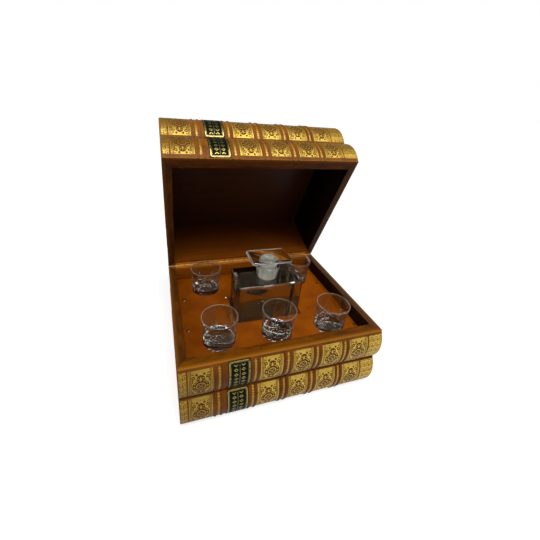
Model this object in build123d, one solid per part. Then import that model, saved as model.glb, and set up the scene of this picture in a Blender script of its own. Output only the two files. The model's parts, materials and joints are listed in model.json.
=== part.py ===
from build123d import *
import math
import os

# Book-form tantalus: a wooden case that looks like a stack of four leather-bound books.
# The lower two books are the base, which holds a tray with a decanter and shot glasses.
# The upper two are the lid, hinged along the back and modelled standing open.
# Millimetres. X runs along the spines, -Y is the spine side, +Z is up.
# The origin is the middle of the case's underside.

# case
case_width = 280.0
case_depth = 221.0
base_height = 100.0
lid_height = 96.5
side_wall = 11.2
front_wall = 14.0
back_wall = 12.4
cover_leather = 1.5
bottom_board_thickness = 6.0
lid_board_thickness = 9.8
rim_gap = 0.3
lid_open_angle = 67.5

# imitation page edges, sunk between the cover boards on the sides and the back
cover_edge = 3.6
page_recess = 1.2
page_start = 5.0

# spines
spine_bulge = 8.4
spine_leather = 1.2
spine_end_round = 2.0
band_shares = (0.1714, 0.3286, 0.4839, 0.6321, 0.7821)
band_spread = 8.2
ridge_foot = 3.0
ridge_top = 1.4
ridge_height = 0.9
label_shift = 2.0
label_side_margin = 2.65
label_thickness = 0.5
label_glue_line = 0.1
label_margin = 1.6

# tray
tray_recess = 20.4
tray_thickness = 5.0
tray_clearance = 0.3
tray_shift = 1.5
column_inset = 45.8
front_row = 60.5
back_row = 63.0
front_row_skew = -0.045
shelf_thickness = 5.0
cleat_width = 17.0
batten_height = 12.0
screw_inset = 8.8
screw_front = -32.0
screw_back = 37.0
screw_far_front = -73.0
screw_far_shift = 4.0
screw_head = 3.0
screw_dome = 1.5
screw_shank = 1.3
screw_length = 9.0
screw_hole_clearance = 0.3
fixing_clearance = 0.04

# shot glasses
glass_height = 51.4
glass_rim = 24.2
glass_foot = 21.0
glass_wall = 1.5
glass_floor = 17.0
glass_floor_round = 6.0
glass_punt = 3.5
glass_punt_rim = 4.0
glass_heel = 1.5
glass_sink = 11.0
facet_count = 10
facet_height = 16.0
facet_depth = 2.4
hole_clearance = 0.6
seat_gap = 0.2

# decanter and stopper
bottle_width = 98.5
bottle_depth = 54.5
bottle_height = 128.6
bottle_corner = 3.5
bottle_shoulder_round = 1.6
bottle_wall = 6.0
bottle_floor = 14.0
bottle_shoulder = 10.0
cavity_corner = 12.0
cavity_top_round = 10.0
cavity_floor_round = 7.0
neck_height = 19.0
neck_foot = 15.0
neck_lip = 18.0
neck_lip_height = 3.0
bore_top = 12.0
bore_bottom = 10.4
ground_length = 21.0
plug_short = 2.0
plug_clearance = 0.05
stem_radius = 10.8
stem_top_radius = 8.4
stem_swell = 0.9
stem_height = 10.0
slab_width = 61.0
slab_depth = 40.5
slab_thickness = 5.0
slab_corner = 4.5
slab_edge = 2.0
well_clearance_x = 3.5
well_clearance_y = 5.3
well_board = 4.0
pad_thickness = 1.5
corner_pin_head = 1.8
corner_pin_dome = 1.3
corner_pin_shank = 0.8
corner_pin_length = 12.0
corner_pin_inset = 2.0

# strip hinges, let into the rims of the back walls
hinge_end_margin = 0.8
hinge_middle_gap = 1.0
hinge_leaf_width = 8.0
hinge_leaf = 1.0
hinge_pin_radius = 0.8
knuckle_count = 9
knuckle_radius = 1.6
knuckle_clearance = 0.3
knuckle_gap = 0.25
pin_clearance = 0.05
pin_seat_clearance = 0.02
hinge_screw_count = 4
hinge_screw_pitch = 36.0
hinge_screw_inset = 5.0
hinge_screw_head = 2.0
hinge_screw_shank = 1.1
hinge_screw_length = 9.0

# places that follow from the sizes
front = -case_depth / 2
back = case_depth / 2
right = case_width / 2
left = -right
inner_right = right - side_wall
inner_left = -inner_right
inner_front = front + front_wall
inner_back = back - back_wall
lid_bottom = base_height + rim_gap
lid_top = base_height + lid_height
base_book = base_height / 2
lid_book = (lid_top - lid_bottom) / 2
board_top = cover_leather + bottom_board_thickness
lid_inside_top = lid_top - cover_leather - lid_board_thickness
tray_top = base_height - tray_recess
tray_bottom = tray_top - tray_thickness
shelf_top = tray_top - glass_sink
shelf_bottom = shelf_top - shelf_thickness
glass_bottom = shelf_top + seat_gap
bottle_bottom = board_top + pad_thickness + seat_gap
shoulder_top = bottle_bottom + bottle_height
neck_top = shoulder_top + neck_height
slab_bottom = neck_top + seat_gap + stem_height
well_x = bottle_width / 2 + well_clearance_x
well_y = bottle_depth / 2 + well_clearance_y
pin_y = back
pin_z = base_height + rim_gap / 2
lid_axis = Axis((0, pin_y, pin_z), (-1, 0, 0))
band_places = [left + share * case_width for share in band_shares]
label_place = (band_places[0] + band_places[1]) / 2 + label_shift
label_room = band_places[1] - band_places[0] - band_spread - ridge_foot
label_width = label_room - 2 * label_side_margin
column_pitch = inner_right - column_inset
hinge_length = inner_right - hinge_end_margin - hinge_middle_gap / 2
hinge_place = (hinge_middle_gap + hinge_length) / 2


def block(x0, x1, y0, y1, z0, z1):
    size = Box(x1 - x0, y1 - y0, z1 - z0)
    return Pos((x0 + x1) / 2, (y0 + y1) / 2, (z0 + z1) / 2) * size


def prism(points, z0, z1):
    outline = make_face(Polyline(*points, close=True))
    return Pos(0, 0, z0) * extrude(outline, z1 - z0)


def swing_open(shape):
    return shape.rotate(lid_axis, lid_open_angle)


def glass_radius(z):
    return glass_foot + (glass_rim - glass_foot) * (z - glass_bottom) / glass_height


# ---- case walls, mitred at the corners ----

def wall_outlines():
    outer = [(left, front), (right, front), (right, back), (left, back)]
    inner = [(inner_left, inner_front), (inner_right, inner_front)]
    inner += [(inner_right, inner_back), (inner_left, inner_back)]
    names = ["front_wall", "right_wall", "back_wall", "left_wall"]
    outlines = {}
    for i, name in enumerate(names):
        j = (i + 1) % 4
        outlines[name] = [outer[i], outer[j], inner[j], inner[i]]
    return outlines


def page_block_cut(z0, z1):
    ring = block(left, right, front + page_start, back, z0 + cover_edge, z1 - cover_edge)
    core = block(
        left + page_recess,
        right - page_recess,
        front,
        back - page_recess,
        z0,
        z1,
    )
    return ring - core


def case_walls(z0, z1, book):
    walls = {}
    for name, outline in wall_outlines().items():
        wall = prism(outline, z0, z1)
        if name != "front_wall":
            wall -= page_block_cut(book[0], book[1])
            wall -= page_block_cut(book[1], book[2])
        walls[name] = wall
    return walls


def base_walls():
    books = (0, base_book, base_height)
    walls = case_walls(cover_leather, base_height, books)
    for x in (-hinge_place, hinge_place):
        walls["back_wall"] -= hinge_rebate(x, -1)
    return {"base_" + name: wall for name, wall in walls.items()}


def lid_walls():
    books = (lid_bottom, lid_bottom + lid_book, lid_top)
    walls = case_walls(lid_bottom, lid_top - cover_leather, books)
    for x in (-hinge_place, hinge_place):
        walls["back_wall"] -= hinge_rebate(x, 1)
    return {"lid_" + name: wall for name, wall in walls.items()}


def bottom_board():
    return block(inner_left, inner_right, inner_front, inner_back, cover_leather, board_top)


def bottom_leather():
    return block(left, right, front, back, 0, cover_leather)


def lid_board():
    top = lid_top - cover_leather
    return block(inner_left, inner_right, inner_front, inner_back, lid_inside_top, top)


def lid_leather():
    return block(left, right, front, back, lid_top - cover_leather, lid_top)


# ---- spines: a rounded wooden moulding under leather, with pairs of raised bands ----

def arc_radius(height, bulge):
    half = height / 2
    return (half * half + bulge * bulge) / (2 * bulge)


def round_back(z0, z1, bulge, x0, x1):
    middle = (front - bulge, (z0 + z1) / 2)
    edge = ThreePointArc((front, z0), middle, (front, z1)) + Line((front, z1), (front, z0))
    return Pos(x0, 0, 0) * extrude(Plane.YZ * make_face(edge), x1 - x0)


def spine_axis(z0, z1):
    y = front - spine_bulge + arc_radius(z1 - z0, spine_bulge)
    return Axis((0, y, (z0 + z1) / 2), (1, 0, 0))


def half_angle(z0, z1):
    radius = arc_radius(z1 - z0, spine_bulge)
    return math.degrees(math.asin((z1 - z0) / 2 / radius))


def wrapped(points, z0, z1, angle):
    axis = spine_axis(z0, z1)
    corners = [(x, axis.position.Y - r, axis.position.Z) for x, r in points]
    strip = make_face(Polyline(*corners, close=True))
    turned = revolve(strip.rotate(axis, -angle), axis, 2 * angle)
    return turned


def raised_band(x, z0, z1):
    radius = arc_radius(z1 - z0, spine_bulge)
    foot = radius - spine_leather / 2
    crest = radius + ridge_height
    points = [(x - ridge_foot / 2, foot), (x - ridge_foot / 2, radius), (x - ridge_top / 2, crest)]
    points += [(x + ridge_top / 2, crest), (x + ridge_foot / 2, radius), (x + ridge_foot / 2, foot)]
    band = wrapped(points, z0, z1, half_angle(z0, z1))
    keep = block(left, right, front - 2 * spine_bulge, front, z0, z1)
    return band & keep


def spine_core(z0, z1):
    inset = spine_leather
    height = z1 - z0 - 2 * inset
    radius = arc_radius(z1 - z0, spine_bulge) - inset
    bulge = spine_bulge - inset
    ends = (left + inset, right - inset)
    low = z0 + inset
    core = round_back(low, low + height, bulge, ends[0], ends[1])
    return core


def spine_leather_cover(z0, z1):
    cover = round_back(z0, z1, spine_bulge, left, right)
    rims = cover.edges().filter_by(GeomType.CIRCLE)
    cover = fillet(rims, spine_end_round)
    for place in band_places:
        for side in (-1, 1):
            cover += raised_band(place + side * band_spread / 2, z0, z1)
    return cover - spine_core(z0, z1)


def spine_label(z0, z1):
    radius = arc_radius(z1 - z0, spine_bulge)
    half = label_width / 2
    margin = math.degrees(label_margin / radius)
    seat = radius + label_glue_line
    points = [(label_place - half, seat), (label_place + half, seat)]
    points += [(label_place + half, seat + label_thickness)]
    points += [(label_place - half, seat + label_thickness)]
    return wrapped(points, z0, z1, half_angle(z0, z1) - margin)


def spines(prefix_low, prefix_high, z0, z1, z2):
    pieces = {}
    for prefix, low, high in ((prefix_low, z0, z1), (prefix_high, z1, z2)):
        pieces[prefix + "_spine_core"] = spine_core(low, high)
        pieces[prefix + "_spine_leather"] = spine_leather_cover(low, high)
        pieces[prefix + "_label"] = spine_label(low, high)
    return pieces


# ---- tray, the shelf under it and the decanter's well ----

def glass_places():
    places = {}
    for name, column in (("left", -1), ("middle", 0), ("right", 1)):
        x = column * column_pitch
        places["front_" + name] = (tray_shift + x, front_row_skew * x - front_row)
        places["back_" + name] = (tray_shift + x, back_row)
    return places


def screw_places():
    edge = inner_right - screw_inset
    places = [(-edge, screw_front), (-edge, screw_back), (edge, screw_back)]
    return places + [(edge + screw_far_shift, screw_far_front)]


def well_space(z0, z1, margin=0.0):
    x0 = tray_shift - well_x - margin
    x1 = tray_shift + well_x + margin
    y = well_y + margin
    return block(x0, x1, -y, y, z0, z1)


def domed_fixing(head_radius, dome_height, shank_radius, length):
    ball = (head_radius**2 + dome_height**2) / (2 * dome_height)
    head = Pos(0, 0, dome_height - ball) * Sphere(ball)
    head &= Pos(0, 0, dome_height / 2) * Cylinder(head_radius, dome_height)
    return head + Pos(0, 0, -length / 2) * Cylinder(shank_radius, length)


def corner_pin_place():
    return tray_shift - well_x - corner_pin_inset, well_y - corner_pin_inset


def tray_panel():
    gap = tray_clearance
    panel = block(
        inner_left + gap,
        inner_right - gap,
        inner_front + gap,
        inner_back - gap,
        tray_bottom,
        tray_top,
    )
    panel -= well_space(tray_bottom, tray_top)
    hole = Cylinder(glass_radius(tray_top) + hole_clearance, tray_thickness)
    for x, y in glass_places().values():
        panel -= Pos(x, y, tray_top - tray_thickness / 2) * hole
    for x, y in screw_places():
        bore = Cylinder(screw_shank + screw_hole_clearance, tray_thickness)
        panel -= Pos(x, y, tray_top - tray_thickness / 2) * bore
    x, y = corner_pin_place()
    pin_hole = Cylinder(corner_pin_shank + fixing_clearance, tray_thickness)
    return panel - Pos(x, y, tray_top - tray_thickness / 2) * pin_hole


def glass_shelf():
    shelf = block(inner_left, inner_right, inner_front, inner_back, shelf_bottom, shelf_top)
    return shelf - well_space(shelf_bottom, shelf_top, well_board + fixing_clearance)


def tray_cleat(side):
    x0 = side * inner_right
    x1 = side * (inner_right - cleat_width)
    cleat = block(min(x0, x1), max(x0, x1), inner_front, inner_back, shelf_top, tray_bottom)
    depth = tray_bottom - shelf_top
    for x, y in screw_places():
        if x * side > 0:
            pilot = Cylinder(screw_shank + fixing_clearance, depth)
            cleat -= Pos(x, y, shelf_top + depth / 2) * pilot
    return cleat


def shelf_batten(side):
    x0 = side * inner_right
    x1 = side * (inner_right - cleat_width)
    low = shelf_bottom - batten_height
    return block(min(x0, x1), max(x0, x1), inner_front, inner_back, low, shelf_bottom)


def tray_screws():
    screw = domed_fixing(screw_head, screw_dome, screw_shank, screw_length)
    return [Pos(x, y, tray_top) * screw for x, y in screw_places()]


def well_corner_pin():
    x, y = corner_pin_place()
    pin = domed_fixing(corner_pin_head, corner_pin_dome, corner_pin_shank, corner_pin_length)
    return Pos(x, y, tray_top) * pin


def well_boards():
    x = well_x
    y = well_y
    t = well_board
    c = tray_shift
    low = board_top
    high = tray_bottom
    pin_x, pin_y_place = corner_pin_place()
    pin_hole = Cylinder(corner_pin_shank + fixing_clearance, corner_pin_length)
    pin_hole = Pos(pin_x, pin_y_place, tray_top - corner_pin_length / 2) * pin_hole
    return {
        "well_front_board": block(c - x - t, c + x + t, -y - t, -y, low, high),
        "well_back_board": block(c - x - t, c + x + t, y, y + t, low, high),
        "well_left_board": block(c - x - t, c - x, -y, y, low, high) - pin_hole,
        "well_right_board": block(c + x, c + x + t, -y, y, low, high),
    }


def well_pad():
    return well_space(board_top, board_top + pad_thickness)


# ---- shot glasses, with flat facets cut round the heel ----

def heel_facet():
    foot = glass_foot - facet_depth
    top = glass_foot + (glass_rim - glass_foot) * facet_height / glass_height
    lean = math.degrees(math.atan((top - foot) / facet_height))
    waste = block(-glass_rim, glass_rim, 0, glass_rim, -facet_height, 2 * facet_height)
    return Pos(0, foot, 0) * Rot(-lean, 0, 0) * waste


def shot_glass():
    foot = glass_radius(glass_bottom)
    rim = glass_rim
    wall = glass_wall
    floor = glass_floor
    inner_foot = foot + (rim - foot) * floor / glass_height - wall
    outer = Polyline(
        (0, glass_punt),
        (foot - glass_punt_rim, 0),
        (foot - glass_heel, 0),
        (foot, glass_heel),
        (rim, glass_height - wall / 2),
    )
    lip = ThreePointArc(
        (rim, glass_height - wall / 2),
        (rim - wall / 2, glass_height),
        (rim - wall, glass_height - wall / 2),
    )
    side = Line((rim - wall, glass_height - wall / 2), (inner_foot, floor + glass_floor_round))
    bend = ThreePointArc(
        (inner_foot, floor + glass_floor_round),
        (inner_foot - 0.3 * glass_floor_round, floor + 0.3 * glass_floor_round),
        (inner_foot - glass_floor_round, floor),
    )
    bottom = Line((inner_foot - glass_floor_round, floor), (0, floor))
    axis_line = Line((0, floor), (0, glass_punt))
    outline = make_face(Plane.XZ * (outer + lip + side + bend + bottom + axis_line))
    glass = revolve(outline, Axis.Z)
    for turn in range(facet_count):
        glass -= Rot(0, 0, turn * 360 / facet_count) * heel_facet()
    return glass


def shot_glasses():
    glass = shot_glass()
    glasses = {}
    for name, (x, y) in glass_places().items():
        if name != "back_middle":
            glasses[name + "_glass"] = Pos(x, y, glass_bottom) * glass
    return glasses


# ---- decanter ----

def rounded_block(width, depth, z0, z1, corner, low_edge, high_edge):
    solid = extrude(RectangleRounded(width, depth, corner), z1 - z0)
    solid = fillet(solid.faces().sort_by(Axis.Z)[0].edges(), low_edge)
    solid = fillet(solid.faces().sort_by(Axis.Z)[-1].edges(), high_edge)
    return Pos(0, 0, z0) * solid


def decanter_bottle():
    z0 = bottle_bottom
    body = rounded_block(
        bottle_width,
        bottle_depth,
        z0,
        shoulder_top,
        bottle_corner,
        bottle_shoulder_round,
        bottle_shoulder_round,
    )
    cavity = rounded_block(
        bottle_width - 2 * bottle_wall,
        bottle_depth - 2 * bottle_wall,
        z0 + bottle_floor,
        shoulder_top - bottle_shoulder,
        cavity_corner,
        cavity_floor_round,
        cavity_top_round,
    )
    neck = Polyline(
        (0, shoulder_top - 1),
        (neck_foot, shoulder_top - 1),
        (neck_foot, shoulder_top),
        (neck_lip, neck_top - neck_lip_height),
        (neck_lip, neck_top),
        (0, neck_top),
        close=True,
    )
    ground_end = neck_top - ground_length
    bore = Polyline(
        (0, neck_top),
        (bore_top, neck_top),
        (bore_bottom, ground_end),
        (bore_bottom, shoulder_top - bottle_shoulder - 1),
        (0, shoulder_top - bottle_shoulder - 1),
        close=True,
    )
    bottle = body + revolve(make_face(Plane.XZ * neck), Axis.Z)
    bottle -= cavity
    bottle -= revolve(make_face(Plane.XZ * bore), Axis.Z)
    return Pos(tray_shift, 0, 0) * bottle


def decanter_stopper():
    seat = neck_top + seat_gap
    taper = (bore_top - bore_bottom) / ground_length
    plug_end = neck_top - ground_length + plug_short
    plug = Polyline(
        (0, plug_end),
        (bore_bottom + plug_short * taper - plug_clearance, plug_end),
        (bore_top - plug_clearance, neck_top),
        (bore_top - plug_clearance, seat),
        (stem_radius, seat),
    )
    middle = (stem_radius + stem_top_radius) / 2 + stem_swell
    stem = ThreePointArc(
        (stem_radius, seat),
        (middle, (seat + slab_bottom) / 2),
        (stem_top_radius, slab_bottom),
    )
    inside_slab = Polyline(
        (stem_top_radius, slab_bottom),
        (stem_top_radius, slab_bottom + slab_edge),
        (0, slab_bottom + slab_edge),
        (0, plug_end),
    )
    outline = make_face(Plane.XZ * (plug + stem + inside_slab))
    slab = rounded_block(
        slab_width,
        slab_depth,
        slab_bottom,
        slab_bottom + slab_thickness,
        slab_corner,
        slab_edge,
        slab_edge,
    )
    return Pos(tray_shift, 0, 0) * (slab + revolve(outline, Axis.Z))


# ---- hinges: side is -1 on the base's rim and 1 on the lid's ----

def on_rim(x, side):
    flip = Rot(180, 0, 0) if side > 0 else Rot(0, 0, 0)
    level = lid_bottom if side > 0 else base_height
    return Pos(x, back - hinge_screw_inset, level) * flip


def hinge_screw_seats(x, side):
    middle = (hinge_screw_count - 1) / 2
    return [on_rim(x + (n - middle) * hinge_screw_pitch, side) for n in range(hinge_screw_count)]


def leaf_block(x0, x1, y0, y1, side):
    if side > 0:
        return block(x0, x1, y0, y1, lid_bottom, lid_bottom + hinge_leaf)
    return block(x0, x1, y0, y1, base_height - hinge_leaf, base_height)


def countersink(spare):
    head = Cone(hinge_screw_shank + spare, hinge_screw_head + spare, hinge_leaf)
    return Pos(0, 0, -hinge_leaf / 2) * head


def along_pin(x0, x1, radius):
    return Pos((x0 + x1) / 2, pin_y, pin_z) * Rot(0, 90, 0) * Cylinder(radius, x1 - x0)


def hinge_rebate(x, side):
    x0 = x - hinge_length / 2
    x1 = x + hinge_length / 2
    rebate = leaf_block(x0, x1, back - hinge_leaf_width, back, side)
    rebate += along_pin(x0, x1, knuckle_radius + knuckle_clearance)
    pilot = Cylinder(hinge_screw_shank + fixing_clearance, hinge_screw_length)
    for seat in hinge_screw_seats(x, side):
        rebate += seat * Pos(0, 0, -hinge_screw_length / 2) * pilot
    return rebate


def hinge_screws(side):
    length = hinge_screw_length - hinge_leaf
    shank = Pos(0, 0, -hinge_leaf - length / 2) * Cylinder(hinge_screw_shank, length)
    screw = countersink(0) + shank
    seats = hinge_screw_seats(-hinge_place, side) + hinge_screw_seats(hinge_place, side)
    return [seat * screw for seat in seats]


def hinge_leaf_plate(x, side, spans, bore_radius):
    stop = pin_y - knuckle_radius - knuckle_clearance
    x0 = x - hinge_length / 2
    x1 = x + hinge_length / 2
    plate = leaf_block(x0, x1, back - hinge_leaf_width, stop, side)
    for start, end in spans:
        plate += leaf_block(start, end, stop, pin_y, side)
        plate += along_pin(start, end, knuckle_radius)
        plate -= along_pin(start, end, bore_radius)
    for seat in hinge_screw_seats(x, side):
        plate -= seat * countersink(fixing_clearance)
    return plate


def knuckle_spans(x, first):
    pitch = hinge_length / knuckle_count
    start = x - hinge_length / 2
    trim = knuckle_gap / 2
    spans = []
    for n in range(first, knuckle_count, 2):
        spans.append((start + n * pitch + trim, start + (n + 1) * pitch - trim))
    return spans


def hinge(name, x):
    pin = Rot(0, 90, 0) * Cylinder(hinge_pin_radius, hinge_length)
    base_bore = hinge_pin_radius + pin_seat_clearance
    lid_bore = hinge_pin_radius + pin_clearance
    return {
        name + "_hinge_base_leaf": hinge_leaf_plate(x, -1, knuckle_spans(x, 0), base_bore),
        name + "_hinge_pin": Pos(x, pin_y, pin_z) * pin,
    }, {name + "_hinge_lid_leaf": hinge_leaf_plate(x, 1, knuckle_spans(x, 1), lid_bore)}


# ---- the whole tantalus ----

def base_pieces():
    pieces = base_walls()
    pieces["bottom_board"] = bottom_board()
    pieces["bottom_leather"] = bottom_leather()
    pieces.update(spines("base_lower", "base_upper", 0, base_book, base_height))
    pieces["tray_panel"] = tray_panel()
    pieces["tray_screws"] = tray_screws()
    pieces["glass_shelf"] = glass_shelf()
    for name, side in (("left", -1), ("right", 1)):
        pieces["tray_" + name + "_cleat"] = tray_cleat(side)
        pieces["shelf_" + name + "_batten"] = shelf_batten(side)
    pieces.update(well_boards())
    pieces["well_pad"] = well_pad()
    pieces["well_corner_pin"] = well_corner_pin()
    pieces["base_hinge_screws"] = hinge_screws(-1)
    return pieces


def lid_pieces():
    pieces = lid_walls()
    pieces["lid_top_board"] = lid_board()
    pieces["lid_top_leather"] = lid_leather()
    middle = lid_bottom + lid_book
    pieces.update(spines("lid_inner", "lid_outer", lid_bottom, middle, lid_top))
    pieces["lid_hinge_screws"] = hinge_screws(1)
    return pieces


def tantalus():
    fixed = base_pieces()
    swinging = lid_pieces()
    for name, x in (("left", -hinge_place), ("right", hinge_place)):
        on_base, on_lid = hinge(name, x)
        fixed.update(on_base)
        swinging.update(on_lid)
    fixed.update(shot_glasses())
    fixed["decanter_bottle"] = decanter_bottle()
    fixed["decanter_stopper"] = decanter_stopper()
    for name, piece in swinging.items():
        if isinstance(piece, list):
            fixed[name] = [swing_open(solid) for solid in piece]
        else:
            fixed[name] = swing_open(piece)
    return fixed


os.makedirs("parts", exist_ok=True)
for node, piece in tantalus().items():
    shape = Compound(children=piece) if isinstance(piece, list) else piece
    export_step(shape, "parts/" + node + ".step")
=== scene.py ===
# Book-form tantalus: four leather-bound books that open on a decanter and five shot glasses.
import json
import math

import bpy
from mathutils import Matrix, Vector


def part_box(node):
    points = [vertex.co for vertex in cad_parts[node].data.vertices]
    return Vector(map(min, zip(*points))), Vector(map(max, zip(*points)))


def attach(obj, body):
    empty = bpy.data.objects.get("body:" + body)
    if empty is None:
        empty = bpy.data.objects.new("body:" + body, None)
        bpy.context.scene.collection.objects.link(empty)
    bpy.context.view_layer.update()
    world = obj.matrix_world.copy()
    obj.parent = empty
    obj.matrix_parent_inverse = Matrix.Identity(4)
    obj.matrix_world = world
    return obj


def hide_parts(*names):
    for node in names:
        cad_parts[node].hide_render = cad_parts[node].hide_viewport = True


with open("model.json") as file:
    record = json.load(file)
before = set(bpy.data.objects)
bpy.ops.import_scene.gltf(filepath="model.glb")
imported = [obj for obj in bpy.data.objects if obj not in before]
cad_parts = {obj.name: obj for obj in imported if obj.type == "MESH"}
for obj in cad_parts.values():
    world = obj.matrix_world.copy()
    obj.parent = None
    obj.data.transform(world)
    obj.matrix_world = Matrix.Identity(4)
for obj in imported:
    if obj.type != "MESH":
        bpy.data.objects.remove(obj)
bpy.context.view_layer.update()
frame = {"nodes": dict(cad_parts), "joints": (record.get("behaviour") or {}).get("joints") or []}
nodes = frame["nodes"]
bpy.ops.object.select_all(action="DESELECT")
mm = 0.001
print("frame loaded:", len(nodes), "nodes")

# the turn that shuts the lid: its pieces and patterns are laid out on the shut case
lidHinge = next(joint for joint in frame["joints"] if joint["name"] == "lid_hinge")
pinPoint = Vector(lidHinge["pos_m"])
lidAngle = math.radians(-lidHinge["range_deg"][0])
shutTurn = Matrix.Rotation(lidAngle, 4, "X")
lidShut = Matrix.Translation(pinPoint) @ shutTurn @ Matrix.Translation(-pinPoint)
lidOpen = lidShut.inverted()

camera = {
    "place": (-0.14236, -0.34334, 0.37752),
    "turn": (63.3457, -4.5973, -17.5788),
    "sensor": 36,
    "lens": 19.1775,
    "shift": (0.02327, -0.05169),
    "nearest": 0.01,
}
bpy.ops.object.camera_add(location=camera["place"])
eye = bpy.context.object
eye.rotation_euler = [math.radians(angle) for angle in camera["turn"]]
eye.data.sensor_width = camera["sensor"]
eye.data.lens = camera["lens"]
eye.data.shift_x, eye.data.shift_y = camera["shift"]
eye.data.clip_start = camera["nearest"]
bpy.context.scene.camera = eye
bpy.context.scene.view_settings.view_transform = "Standard"
print("camera set")


def colour(text):  # an sRGB hex value, turned to linear
    parts = [int(text[i:i + 2], 16) / 255 for i in (1, 3, 5)]
    return [c / 12.92 if c <= 0.04045 else ((c + 0.055) / 1.055) ** 2.4 for c in parts] + [1]


def per(size):  # the scale of a pattern whose features are this many millimetres wide
    return 1 / (size * mm)


def add(tree, kind, *sockets, out=0, **settings):  # a node, with its settings and links
    node = tree.nodes.new("ShaderNode" + kind)
    values = list(enumerate(sockets))
    for name, value in settings.items():
        title = name.replace("_", " ")
        if title in node.inputs:
            values.append((title, value))
        else:
            setattr(node, name, value)
    for key, value in values:
        if isinstance(value, bpy.types.NodeSocket):
            tree.links.new(value, node.inputs[key])
        elif isinstance(value, str):
            node.inputs[key].default_value = colour(value)
        else:
            node.inputs[key].default_value = value
    return node.outputs[out] if len(node.outputs) else None


def newMaterial(name):
    material = bpy.data.materials.new(name)
    material.use_nodes = True
    material.node_tree.nodes.clear()
    return material, material.node_tree


def shutPlace(tree, opened):  # object coordinates as the shut case has them
    place = add(tree, "TexCoord", out="Object")
    if not opened:
        return place
    return add(tree, "Mapping", place,
               Location=lidShut.to_translation(), Rotation=lidShut.to_euler())


def tally(tree, sockets, operation="MAXIMUM"):  # all the shapes of one drawing, or the like
    total = sockets[0]
    for socket in sockets[1:]:
        total = add(tree, "Math", total, socket, operation=operation)
    return total


def apart(tree, value, middle):  # how far a value lies from a middle, on either side
    offset = add(tree, "Math", value, middle, operation="SUBTRACT")
    return add(tree, "Math", offset, operation="ABSOLUTE")


def waxed(material, shade, rough, gloss, bump):  # wood, leather or paper with a little shine
    tree = material.node_tree
    surface = add(tree, "BsdfPrincipled", Base_Color=shade, Roughness=rough, IOR=1.45,
                  Specular_IOR_Level=gloss, Normal=bump)
    add(tree, "OutputMaterial", surface)
    return material


# floor, backdrop and lamps
stage = {
    "floorSize": 60.0,
    "floorDrop": 0.3 * mm,
    "floorColour": "#b4b4b4",
    "floorGlow": 0.65,
    "glossGlow": (-0.22, 0.25, 0.08, 0.6),  # the floor as gloss sees it, dimmer to the left
    "roomLight": 0.34,
    "glossTop": (0.2, 0.45),  # the white sweep ends between these heights in gloss
    "glossCeiling": 0.17,
    "glassTop": (0.08, 0.32),  # and between these in glass
    "glassPaper": 0.75,
    "glassCeiling": 0.07,
    "sun": {"strength": 1.8, "turn": (24, 9, 0), "angle": 34},
    "glints": [
        {"place": (-0.25, -0.35, 1.1), "size": 0.10, "power": 1.6},
        {"place": (0.55, -0.55, 0.9), "size": 0.07, "power": 0.8},
        {"place": (-0.75, 0.05, 0.62), "size": 0.32, "power": 1.6},
    ],
}


def floorFinish():  # paper that the camera and glass see white, and that keeps a shadow
    material, tree = newMaterial("matt_paper_sweep")
    matt = add(tree, "BsdfDiffuse", Color=stage["floorColour"])
    ray = add(tree, "LightPath", out="Is Camera Ray").node.outputs
    clear = add(tree, "Math", ray["Is Camera Ray"], ray["Is Transmission Ray"],
                operation="MAXIMUM")
    acrossFloor = add(tree, "SeparateXYZ", add(tree, "TexCoord", out="Object"), out="X")
    glow = add(tree, "MapRange", acrossFloor, *stage["glossGlow"])
    glow = add(tree, "Math", glow, ray["Is Glossy Ray"], operation="MULTIPLY")
    glow = add(tree, "MapRange", clear, 0, 1, glow, stage["floorGlow"])
    glow = add(tree, "Emission", Strength=glow)
    add(tree, "OutputMaterial", add(tree, "AddShader", matt, glow))
    return material


bpy.ops.mesh.primitive_plane_add(size=stage["floorSize"], location=(0, 0, -stage["floorDrop"]))
floor = bpy.context.object
floor.name = "floor"
floor.data.materials.append(floorFinish())

world = bpy.data.worlds.new("room")
bpy.context.scene.world = world
world.use_nodes = True
roomTree = world.node_tree
roomTree.nodes.clear()
ray = add(roomTree, "LightPath", out="Is Camera Ray").node.outputs
height = add(roomTree, "SeparateXYZ", add(roomTree, "TexCoord", out="Generated"), out="Z")
glossLight = add(roomTree, "MapRange", height, *stage["glossTop"], 1, stage["glossCeiling"])
glassLight = add(roomTree, "MapRange", height, *stage["glassTop"],
                 stage["glassPaper"], stage["glassCeiling"])
level = add(roomTree, "MapRange", ray["Is Glossy Ray"], 0, 1, stage["roomLight"], glossLight)
level = add(roomTree, "MapRange", ray["Is Transmission Ray"], 0, 1, level, glassLight)
level = add(roomTree, "MapRange", ray["Is Camera Ray"], 0, 1, level, 1)
add(roomTree, "OutputWorld", add(roomTree, "Background", Color="#ffffff", Strength=level))

bpy.ops.object.light_add(type="SUN")
sun = bpy.context.object
sun.rotation_euler = [math.radians(angle) for angle in stage["sun"]["turn"]]
sun.data.energy = stage["sun"]["strength"]
sun.data.angle = math.radians(stage["sun"]["angle"])
for glint in stage["glints"]:
    bpy.ops.object.light_add(type="AREA", location=glint["place"])
    lamp = bpy.context.object
    lamp.data.size = glint["size"]
    lamp.data.energy = glint["power"]
    lamp.rotation_euler = Vector(glint["place"]).to_track_quat("Z", "Y").to_euler()
print("stage and lamps set")

# the case as it is shut: its outside, the inside of its walls, and the two rims that meet
case = {
    "right": 140 * mm,
    "front": -110.5 * mm,
    "back": 110.5 * mm,
    "innerRight": 128.8 * mm,
    "innerFront": -96.5 * mm,
    "innerBack": 98.1 * mm,
    "baseRim": 100 * mm,
    "lidRim": 100.3 * mm,
}


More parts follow.
